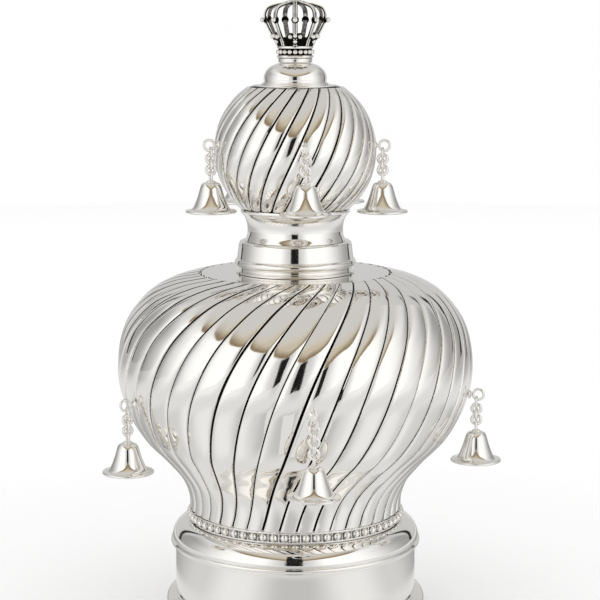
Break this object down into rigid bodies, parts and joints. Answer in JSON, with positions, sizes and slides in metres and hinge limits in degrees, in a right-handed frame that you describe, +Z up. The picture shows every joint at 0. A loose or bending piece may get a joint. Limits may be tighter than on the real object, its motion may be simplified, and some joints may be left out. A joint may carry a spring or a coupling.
{
  "type": "torah crown",
  "caption": "Silver torah crown: a round base, a spirally fluted bowl and ball, and a small crown of arches on top, hung with bells on chains.",
  "frame": {"origin": "middle of the whole thing's footprint, bells included, on the plane it stands on; the crown's own axis stands at x -4.9 mm, y +6.7 mm", "axes": "+Z up along the crown's axis; -Y towards the viewer, where the front bells hang"},
  "size_m": [0.2185, 0.2198, 0.362],
  "materials": {
    "polished_silver": "polished sterling silver",
    "fluted_silver": "polished sterling silver, grooves oxidised black",
    "gallery_silver": "cast sterling silver, recesses oxidised black",
    "fittings_silver": "polished sterling silver"
  },
  "bodies": {
    "root": {"foot_ring": "polished_silver", "base_band": "polished_silver", "base_shoulder": "polished_silver", "gallery_band": "gallery_silver", "fluted_bowl": "fluted_silver", "shoulder_plate": "polished_silver", "neck_collar": "polished_silver", "neck_cup": "polished_silver", "fluted_ball": "fluted_silver", "ball_cap": "polished_silver", "crown_circlet": "gallery_silver", "crown_arches": "gallery_silver", "top_finial": "polished_silver", "upper_eye_bolt_1": "fittings_silver", "upper_chain_1": "fittings_silver", "upper_bell_1": "fittings_silver", "upper_eye_bolt_2": "fittings_silver", "upper_chain_2": "fittings_silver", "upper_bell_2": "fittings_silver", "upper_eye_bolt_3": "fittings_silver", "upper_chain_3": "fittings_silver", "upper_bell_3": "fittings_silver", "upper_eye_bolt_4": "fittings_silver", "upper_chain_4": "fittings_silver", "upper_bell_4": "fittings_silver", "upper_eye_bolt_5": "fittings_silver", "upper_chain_5": "fittings_silver", "upper_bell_5": "fittings_silver", "lower_eye_bolt_1": "fittings_silver", "lower_chain_1": "fittings_silver", "lower_bell_1": "fittings_silver", "lower_eye_bolt_2": "fittings_silver", "lower_chain_2": "fittings_silver", "lower_bell_2": "fittings_silver", "lower_eye_bolt_3": "fittings_silver", "lower_chain_3": "fittings_silver", "lower_bell_3": "fittings_silver", "lower_eye_bolt_4": "fittings_silver", "lower_chain_4": "fittings_silver", "lower_bell_4": "fittings_silver", "lower_eye_bolt_5": "fittings_silver", "lower_chain_5": "fittings_silver", "lower_bell_5": "fittings_silver"}
  },
  "joints": []
}
